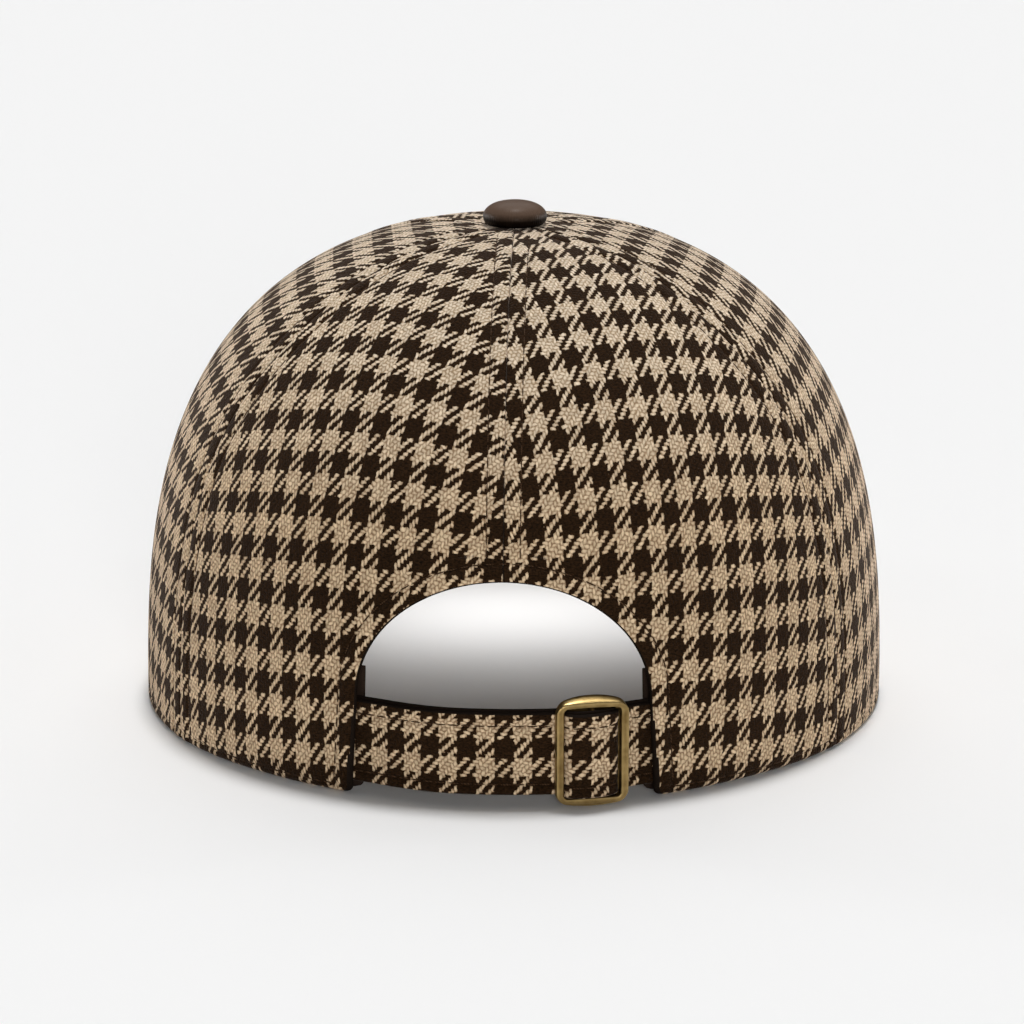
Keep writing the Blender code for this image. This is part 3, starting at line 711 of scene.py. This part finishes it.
# The cloth goes on round the edge, so its yarns are counted on by as much as the edge turns down.
round_edge = reach[..., :2] / np.maximum(length, 1e-6)[..., None] * (half_peak - half)[..., None]
cloth = ((top[..., :2] + round_edge) / PEAK_REPEAT * 2 * YARNS + STAR_MIDDLE)[:, ::-1]
upper = top + UPWARDS * (half - half_peak + relief * half / half_peak)[..., None]
lower = top - UPWARDS * (half + half_peak)[..., None]
mesh = bmesh.new()
lay(mesh, upper[:, ::-1], cloth)
lay(mesh, lower[:, ::-1], cloth, inside=True)
close_and_finish("peak_cloth", mesh, "peak", "houndstooth_cloth", twill)

share = np.sin(np.linspace(-0.43 * np.pi, 0.43 * np.pi, 400))
length = np.linalg.norm(peak_point(share, np.ones(1)) - peak_point(share, np.zeros(1)), axis=-1)
line = peak_point(share, 1 - PEAK_STITCH / length)
mesh = bmesh.new()
sew(mesh, line - STITCH_DEPTH * UPWARDS, np.broadcast_to(UPWARDS, line.shape))
close_and_finish("peak_stitching", mesh, None, "houndstooth_cloth", thread)


# ---------------------------------------------------------------- the strap
# Two strips: the houndstooth outside, folded over at both edges and stitched down, and a brown tape behind
# it, whose edge shows on top. It is sewn in behind both back gores and passes over the buckle's bar.

FACE_THICKNESS = 1.15
STRAP_FOOT, STRAP_TOP = 2.8, 22.2
STRAP_WIDTH = STRAP_TOP - STRAP_FOOT
STRAP_INSIDE_TURN, STRAP_LEVEL_TURN = math.radians(23.0), math.radians(8.0)
BUCKLE_TURN = math.radians(13.0)
LOOP_HALF_WIDTH, LOOP_EASE, LOOP_RISE, LOOP_FOOT = 6.45, 2.0, 3.75, 2.5
LOOP_FULLNESS = 2.6
STRAP_REPEAT = np.array([8.43, 8.9])
STRAP_STAR = np.array([1.4, 9.4])
TOP_STITCH, FOOT_STITCH = 3.4, 2.5
STRAP_PULL, STRAP_STITCH_DEPTH = 1.4, 0.22
# Along the top the tape stands up a little and the cloth sinks in front of it. The cloth's folded edge
# there takes the tape's dark colour as painted shade.
TAPE_RISE, FACE_RISE, PAINTED_SHADE_EDGE = 0.35, -0.2, 0.55
# Distances between points: from the strap's end, near the buckle and away from it.
STRAP_EDGE = np.array([0, 0.06, 0.25, 0.575])
NEAR_BUCKLE, CLOSE_STEP, WIDE_STEP = 9, 0.35, 0.9


def strap_line(turn, out=0.0):
    """Points on the strap's outer face at the table, in plan, and the way out of it."""
    on_crown = crown(turn, 0.0 * turn)
    way_out = outwards(on_crown)
    sunk = (2 * HALF_WALL + STRAP_SEAT) * ease(
        (np.abs(turn) - STRAP_LEVEL_TURN) / (STRAP_INSIDE_TURN - STRAP_LEVEL_TURN))
    return on_crown + way_out * np.asarray(out - sunk)[..., None], way_out


fine_turns = np.linspace(-STRAP_END_TURN, STRAP_END_TURN, 1200)
strap_way = np.linalg.norm(np.diff(strap_line(fine_turns)[0], axis=0), axis=1)
strap_way = np.concatenate(([0.0], np.cumsum(strap_way)))
strap_way -= np.interp(BUCKLE_TURN, fine_turns, strap_way)


def strap_points(along):
    """Points on the strap's outer face at distances along it, the way out there, and its foot's height."""
    loop = 1 - np.minimum(np.abs(along) / LOOP_HALF_WIDTH, 1) ** LOOP_FULLNESS
    loop = loop ** (1 / LOOP_FULLNESS)
    pinch = 1 - ease((np.abs(along) - LOOP_HALF_WIDTH) / LOOP_EASE)
    foot = STRAP_FOOT + (LOOP_FOOT - STRAP_FOOT) * pinch
    base, way_out = strap_line(np.interp(along, strap_way, fine_turns), LOOP_RISE * loop)
    return base, way_out, foot


stations = np.concatenate((
    strap_way[0] + STRAP_EDGE, np.arange(strap_way[0] + 1, -NEAR_BUCKLE, WIDE_STEP),
    np.arange(-NEAR_BUCKLE, NEAR_BUCKLE, CLOSE_STEP),
    np.arange(NEAR_BUCKLE, strap_way[-1] - 1, WIDE_STEP), strap_way[-1] - STRAP_EDGE[::-1]))[None, :]
base, way_out, foot = strap_points(stations)
from_top = np.linspace(BORDER_WIDTH, STRAP_WIDTH - BORDER_WIDTH, 14)[1:-1]
from_top = np.concatenate((BORDER, from_top, STRAP_WIDTH - BORDER[::-1]))[::-1, None]
at_foot = ease((from_top - BORDER_WIDTH) / (STRAP_WIDTH - 2 * BORDER_WIDTH))
height = STRAP_TOP - from_top + (foot - STRAP_FOOT) * at_foot
from_end = np.minimum(stations - strap_way[0], strap_way[-1] - stations)


def strap_layer(mesh, outer, thickness, cloth, relief=0.0, rise=0.0, tape_look=None):
    """Adds one strip of the strap, its face this far behind the strap's own, its top this much higher."""
    half = thickness / 2 * fold(np.minimum(from_top, STRAP_WIDTH - from_top), thickness / 2)
    half = half * fold(from_end, thickness / 2)
    level = height + rise * ease(1 - from_top / 2)
    centre = base + level[..., None] * UPWARDS - way_out * (outer + thickness / 2)
    swell = (half * (1 + relief / (thickness / 2)))[..., None]
    lay(mesh, centre + way_out * swell, cloth, tape_look=tape_look)
    lay(mesh, centre - way_out * half[..., None], cloth, inside=True, tape_look=tape_look)


cloth = np.stack(np.broadcast_arrays(stations, height), axis=-1)
cloth = (cloth - STRAP_STAR) / STRAP_REPEAT * 2 * YARNS + STAR_MIDDLE
relief = stitch_line(from_top, TOP_STITCH) + stitch_line(STRAP_WIDTH - from_top, FOOT_STITCH)
mesh = bmesh.new()
# Painted shade: the cloth's folded top edge takes the tape's dark colour.
strap_layer(mesh, 0.0, FACE_THICKNESS, cloth, STRAP_PULL * relief, FACE_RISE,
            np.broadcast_to(from_top < PAINTED_SHADE_EDGE, cloth.shape[:2]))
close_and_finish("strap_cloth", mesh, "strap", "houndstooth_cloth", twill, tape_and_painted_shade)
mesh = bmesh.new()
strap_layer(mesh, FACE_THICKNESS, STRAP_THICKNESS - FACE_THICKNESS, cloth, rise=TAPE_RISE)
close_and_finish("strap_backing", mesh, None, "brown_band", tape_and_painted_shade)

mesh = bmesh.new()
line_stations = np.linspace(strap_way[0] + 3, strap_way[-1] - 3, 500)
line, line_out, line_foot = strap_points(line_stations)
for z in (STRAP_TOP - TOP_STITCH + 0 * line_foot, line_foot + FOOT_STITCH):
    sew(mesh, line + z[:, None] * UPWARDS - STRAP_STITCH_DEPTH * line_out, line_out)
close_and_finish("strap_stitching", mesh, None, "houndstooth_cloth", thread)


# ---------------------------------------------------------------- the buckle
# A rectangular slider cast in brass and antiqued: a brown patina rubbed back to bright metal on its edges.
# The strap comes up through the frame, over the centre bar and down again, which holds it by friction.

# Widths, and heights from the table, of the frame's window and of its outside before it bows.
WINDOW_WIDTH, WINDOW_FOOT, WINDOW_TOP, WINDOW_CORNER, WINDOW_ARCH = 13.0, 2.1, 22.8, 0.9, 0.15
FRAME_WIDTH, FRAME_FOOT, FRAME_TOP, FRAME_CORNER = 16.8, 1.3, 23.85, 2.3
FRAME_DEPTH, FRAME_SEAT = 2.0, 0.1
# The top and the foot bow outwards between the corners. The top's face hardly does, but behind it the metal
# rises and reaches back over the strap's edge.
FOOT_BOW, FACE_BOW, BACK_BOW, BACK_REACH = 1.1, 0.1, 1.75, 0.9
BOW_FULLNESS = 2.2
CORNER_POINTS, MEMBER_POINTS = 13, 25
BAR_RADIUS, BAR_DEPTH, BAR_RUN_IN = 0.7, 0.9, 0.8

# Antiqued brass: metal, satin from the brush, browner in the hollows, brighter where hands rub the edges.
brass, tree = new_material("antiqued_brass")
here = add(tree, "TexCoord")
worn = add(tree, "Attribute", attribute_name="worn")
patina = add(tree, "TexNoise", {"Vector": here.outputs["Object"], "Scale": 350.0, "Detail": 3.0})
shine = add(tree, "Math", (patina, 0.7, worn.outputs["Fac"]), operation="MULTIPLY_ADD")
shine = add(tree, "Math", (shine, 0.35), operation="SUBTRACT", use_clamp=True)
brass_colour = add(tree, "MixRGB", (shine, colour("#69532F"), colour("#E0C284")))
grain = add(tree, "Mapping", {"Vector": here.outputs["Object"], "Scale": (3.0, 3.0, 0.15)})
grain = add(tree, "TexNoise", {"Vector": grain, "Scale": 1200.0, "Detail": 2.0})
satin = add(tree, "MapRange", (shine, 0.0, 1.0, 0.48, 0.28))
bump = add(tree, "Bump", {"Strength": 0.15, "Distance": 0.04 * MM, "Height": grain})
shader = add(tree, "BsdfPrincipled", {
    "Base Color": brass_colour, "Normal": bump, "Metallic": 1.0, "Roughness": satin})
add(tree, "OutputMaterial", {"Surface": shader})

# The frame's section: share of the way from the window to the outside, depth from the back, and wear.
FRAME_SECTION = (
    (0.0, 0.25, 0.0), (0.0, 1.3, 0.1), (0.02, 1.66, 0.15), (0.09, 1.88, 0.25), (0.2, 1.93, 0.25),
    (0.5, 1.88, 0.15), (0.72, 1.93, 0.25), (0.83, 1.89, 0.4), (0.92, 1.79, 0.55), (0.98, 1.62, 0.6),
    (1.0, 1.42, 0.6), (1.0, 1.1, 0.45), (1.0, 0.7, 0.3), (1.0, 0.25, 0.1), (0.86, 0.0, 0.0),
    (0.14, 0.0, 0.0),
)
seat, seat_out = strap_line(np.array([BUCKLE_TURN]))
buckle_out = Vector(seat_out[0])
buckle_along = Vector((-buckle_out.y, buckle_out.x, 0.0))
buckle_foot = Vector(seat[0])


def rounded_outline(width, foot, top, corner):
    """Points round an upright rectangle with round corners, as many for any size."""
    points = []
    for quarter, (side, level) in enumerate(((1, top), (-1, top), (-1, foot), (1, foot))):
        way_in = corner if level == foot else -corner
        corner_middle = np.array([side * (width / 2 - corner), level + way_in])
        angles = np.pi / 2 * (quarter + np.linspace(0, 1, CORNER_POINTS))
        points.append(corner_middle + corner * np.stack((np.cos(angles), np.sin(angles)), axis=-1))
        if quarter in (0, 2):
            x = side * np.linspace(width / 2 - corner, corner - width / 2, MEMBER_POINTS + 2)[1:-1]
            points.append(np.stack((x, np.full(MEMBER_POINTS, level)), axis=-1))
    return np.concatenate(points)


def bowed(x, width):
    """How much of the bow there is across a member, from none at its ends to all in its middle."""
    return np.maximum(1 - (np.abs(x) / (width / 2)) ** BOW_FULLNESS, 0)


window = rounded_outline(WINDOW_WIDTH, WINDOW_FOOT, WINDOW_TOP, WINDOW_CORNER)
outside = rounded_outline(FRAME_WIDTH, FRAME_FOOT, FRAME_TOP, FRAME_CORNER)
at_top = window[:, 1] > (WINDOW_FOOT + WINDOW_TOP) / 2
window[:, 1] += at_top * WINDOW_ARCH * bowed(window[:, 0], WINDOW_WIDTH)
bow = bowed(outside[:, 0], FRAME_WIDTH)
mesh = bmesh.new()
worn_layer = mesh.verts.layers.float.new("worn")
rings = []
for outward, deep, painted_top_light_and_mottle in FRAME_SECTION:
    to_back = 1 - deep / FRAME_DEPTH
    top_bow = FACE_BOW + (BACK_BOW - FACE_BOW) * to_back * (1.25 - 0.25 * to_back)
    bowed_outside = outside + np.stack((0 * bow, np.where(at_top, top_bow, -FOOT_BOW) * bow), axis=-1)
    line = window + (bowed_outside - window) * outward
    reach = BACK_REACH * to_back * bow * at_top
    ring = []
    for (x, z), back in zip(line, reach):
        point = buckle_foot + buckle_along * x + buckle_out * (FRAME_SEAT + deep - back) + Vector((0, 0, z))
        ring.append(mesh.verts.new(in_frame(np.array(point))))
        ring[-1][worn_layer] = painted_top_light_and_mottle
    rings.append([mesh.edges.new((a, b)) for a, b in zip(ring, ring[1:] + ring[:1])])
for ring, following in zip(rings, rings[1:] + rings[:1]):
    bmesh.ops.bridge_loops(mesh, edges=ring + following)
bmesh.ops.recalc_face_normals(mesh, faces=mesh.faces)
bar_length = WINDOW_TOP - WINDOW_FOOT + 2 * BAR_RUN_IN
bar = bmesh.ops.create_cone(mesh, cap_ends=True, segments=24, radius1=BAR_RADIUS * MM,
                            radius2=BAR_RADIUS * MM, depth=bar_length * MM)
bar_middle = buckle_foot + buckle_out * BAR_DEPTH + Vector((0, 0, (WINDOW_FOOT + WINDOW_TOP) / 2))
bmesh.ops.translate(mesh, verts=bar["verts"], vec=in_frame(np.array(bar_middle)))
close_and_finish("buckle_frame", mesh, "buckle", "antique_brass", brass)


# ---------------------------------------------------------------- the button
# A tin shell covered in thin brown leather, gathered under its edge, and riveted through the gores' tops.

BUTTON_RADIUS, BUTTON_FOOT_RADIUS, BUTTON_WAIST, BUTTON_DOME = 7.6, 6.5, 1.8, 3.65
BUTTON_FULLNESS = 0.8
CREASES = 72.0
# Heights over the table between which the painted light on the leather grows, and its creases fade in.
PAINTED_BUTTON_LIGHT_FROM, PAINTED_BUTTON_LIGHT_TO = 115.3, 117.2
CREASED_FROM, CREASED_TO = 118.7, 117.3
RIVET_RADIUS, RIVET_LENGTH = 2.4, 2.6

# Chrome-tanned leather, finished: fine pebble grain, a low broad shine, tiny creases where it is pulled.
leather, tree = new_material("chrome_tanned_leather")
here = add(tree, "TexCoord")
pores = add(tree, "TexVoronoi", {"Vector": here.outputs["Object"], "Scale": 2600.0}, feature="SMOOTH_F1")
cloud = add(tree, "TexNoise", {"Vector": here.outputs["Object"], "Scale": 300.0, "Detail": 3.0})
# Painted light: the leather is painted paler over the top, where the light from above falls, and nearly
# black below, with a faint mottle.
level = add(tree, "SeparateXYZ", (here.outputs["Object"],))
painted_top_light_and_mottle = add(tree, "MapRange", (level.outputs[2], PAINTED_BUTTON_LIGHT_FROM * MM, PAINTED_BUTTON_LIGHT_TO * MM, -0.15, 0.9))
painted_top_light_and_mottle = add(tree, "Math", (cloud, 0.3, painted_top_light_and_mottle), operation="MULTIPLY_ADD", use_clamp=True)
leather_colour = add(tree, "MixRGB", (painted_top_light_and_mottle, colour("#0D0704"), colour("#5C4A3E")))
skin = add(tree, "Math", (cloud, 0.8, pores.outputs["Distance"]), operation="MULTIPLY_ADD")
# The creases run down over the shoulder, each a little bent, and fade out towards the top.
around = add(tree, "Mapping", {"Vector": here.outputs["Object"], "Location": (-middle.x, -middle.y, 0.0)})
around = add(tree, "SeparateXYZ", (around,))
around = add(tree, "Math", (around.outputs[1], around.outputs[0]), operation="ARCTAN2")
around = add(tree, "Math", (around, CREASES, cloud), operation="MULTIPLY_ADD")
crease = add(tree, "Math", (around,), operation="SINE")
shoulder = add(tree, "MapRange", (level.outputs[2], CREASED_FROM * MM, CREASED_TO * MM, 0.0, 1.0))
crease = add(tree, "Math", (crease, shoulder), operation="MULTIPLY")
skin = add(tree, "Math", (crease, 0.75, skin), operation="MULTIPLY_ADD")
bump = add(tree, "Bump", {"Strength": 0.35, "Distance": 0.1 * MM, "Height": skin})
shader = add(tree, "BsdfPrincipled", {
    "Base Color": leather_colour, "Normal": bump, "Roughness": 0.42, "Specular IOR Level": 0.08,
    "Specular Tint": colour("#D8B8A0"), "Coat Weight": 0.03, "Coat Roughness": 0.25})
add(tree, "OutputMaterial", {"Surface": shader})

button_foot = CROWN_HEIGHT + CLEAR
rivet_foot = button_foot - RIVET_LENGTH
profile = [(0.0, rivet_foot), (RIVET_RADIUS, rivet_foot), (RIVET_RADIUS, button_foot)]
for angle in np.linspace(0, np.pi / 2, 9)[:-1]:
    radius = BUTTON_FOOT_RADIUS + (BUTTON_RADIUS - BUTTON_FOOT_RADIUS) * math.sin(angle)
    profile.append((radius, button_foot + BUTTON_WAIST * (1 - math.cos(angle))))
for angle in np.linspace(0, np.pi / 2, 21)[:-1]:
    profile.append((BUTTON_RADIUS * math.cos(angle) ** BUTTON_FULLNESS,
                    button_foot + BUTTON_WAIST + BUTTON_DOME * math.sin(angle)))
profile.append((0.0, button_foot + BUTTON_WAIST + BUTTON_DOME))
mesh = bmesh.new()
points = [mesh.verts.new(in_frame(np.array([radius, 0.0, z]))) for radius, z in profile]
line = [mesh.edges.new(pair) for pair in zip(points, points[1:])]
bmesh.ops.spin(mesh, geom=points + line, cent=in_frame(np.zeros(3)), axis=(0, 0, 1), angle=2 * math.pi,
               steps=96, use_merge=True)
bmesh.ops.remove_doubles(mesh, verts=mesh.verts, dist=0.01 * MM)
bmesh.ops.recalc_face_normals(mesh, faces=mesh.faces)
close_and_finish("leather_button", mesh, "top_button", "brown_leather", leather)


# ---------------------------------------------------------------- the studio
# A pale sheet of paper. Soft light comes from above and behind the cap, weaker light from the camera's side
# and low light from beyond it on both sides. Two small panels in the crown brighten the paper that shows
# through the back opening.

FLOOR_HALF_WIDTH = 6.0
AROUND_LIGHT = 0.05
LENS, SENSOR = 175.0, 36.0
AZIMUTH, ELEVATION, ROLL = math.radians(1.525), math.radians(14.04), math.radians(0.12)
DISTANCE = 1.2
AIM = (-0.56, 0.0, 43.07)

# Matt paper, nearly white, with hardly any shine.
paper, tree = new_material("backdrop_paper")
shader = add(tree, "BsdfPrincipled", {
    "Base Color": colour("#EFEFEF"), "Roughness": 0.95, "Specular IOR Level": 0.1})
add(tree, "OutputMaterial", {"Surface": shader})
mesh = bmesh.new()
bmesh.ops.create_grid(mesh, x_segments=1, y_segments=1, size=FLOOR_HALF_WIDTH)
data = bpy.data.meshes.new("floor")
mesh.to_mesh(data)
mesh.free()
data.materials.append(paper)
put("floor", data)

world = bpy.data.worlds.new("studio")
bpy.context.scene.world = world
world.use_nodes = True
background = world.node_tree.nodes["Background"]
background.inputs["Color"].default_value = (1.0, 1.0, 1.0, 1.0)
background.inputs["Strength"].default_value = AROUND_LIGHT


def far_light(name, turn, rise, spread, strength):
    """A soft light a long way off: its turn from the back towards +X, its rise and its width in degrees."""
    lamp = bpy.data.lights.new(name, "SUN")
    lamp.energy = strength
    lamp.angle = math.radians(spread)
    turn, rise = math.radians(turn), math.radians(rise)
    came_from = Vector((math.sin(turn) * math.cos(rise), -math.cos(turn) * math.cos(rise), math.sin(rise)))
    put(name, lamp).rotation_euler = came_from.to_track_quat("Z", "Y").to_euler()


far_light("top_light", 172, 78, 12, 2.04)
far_light("high_fill", 180, 88, 60, 0.2)
far_light("back_light", 180, 50, 50, 0.72)
far_light("front_light", 7, 14, 16, 1.07)
far_light("right_light", 45, 10, 50, 0.08)
far_light("right_side_light", 119, 4, 16, 0.9)
far_light("left_side_light", -120, 4, 16, 1.22)
# name, width, depth, place from the crown's middle, tilt towards the front, power
for name, width, depth, place, tilt, power in (
        ("panel_in_the_crown", 0.092, 0.032, (0.0, 60.0, 51.0), 10, 0.041),
        ("panel_at_the_brow", 0.08, 0.012, (0.0, 79.0, 28.0), 42, 0.003)):
    panel = bpy.data.lights.new(name, "AREA")
    panel.shape = "RECTANGLE"
    panel.size, panel.size_y = width, depth
    panel.energy = power
    light = put(name, panel)
    light.location = in_frame(np.array(place))
    light.rotation_euler = (math.radians(tilt), 0.0, 0.0)
    light.visible_camera = False

scene = bpy.context.scene
scene.view_settings.view_transform = "Standard"

# The camera stands behind the cap and looks a little down on it, with a long lens, as in the photograph.
level_back = Vector((math.sin(AZIMUTH), -math.cos(AZIMUTH), 0.0))
back = level_back * math.cos(ELEVATION) + Vector((0.0, 0.0, math.sin(ELEVATION)))
right = Vector((math.cos(AZIMUTH), math.sin(AZIMUTH), 0.0))
turned = Matrix((right, back.cross(right), back)).transposed().to_4x4() @ Matrix.Rotation(ROLL, 4, "Z")
view = bpy.data.cameras.new("camera")
view.lens = LENS
view.sensor_width = SENSOR
camera = put("camera", view)
camera.matrix_world = Matrix.Translation(Vector(in_frame(np.array(AIM))) + back * DISTANCE) @ turned
scene.camera = camera
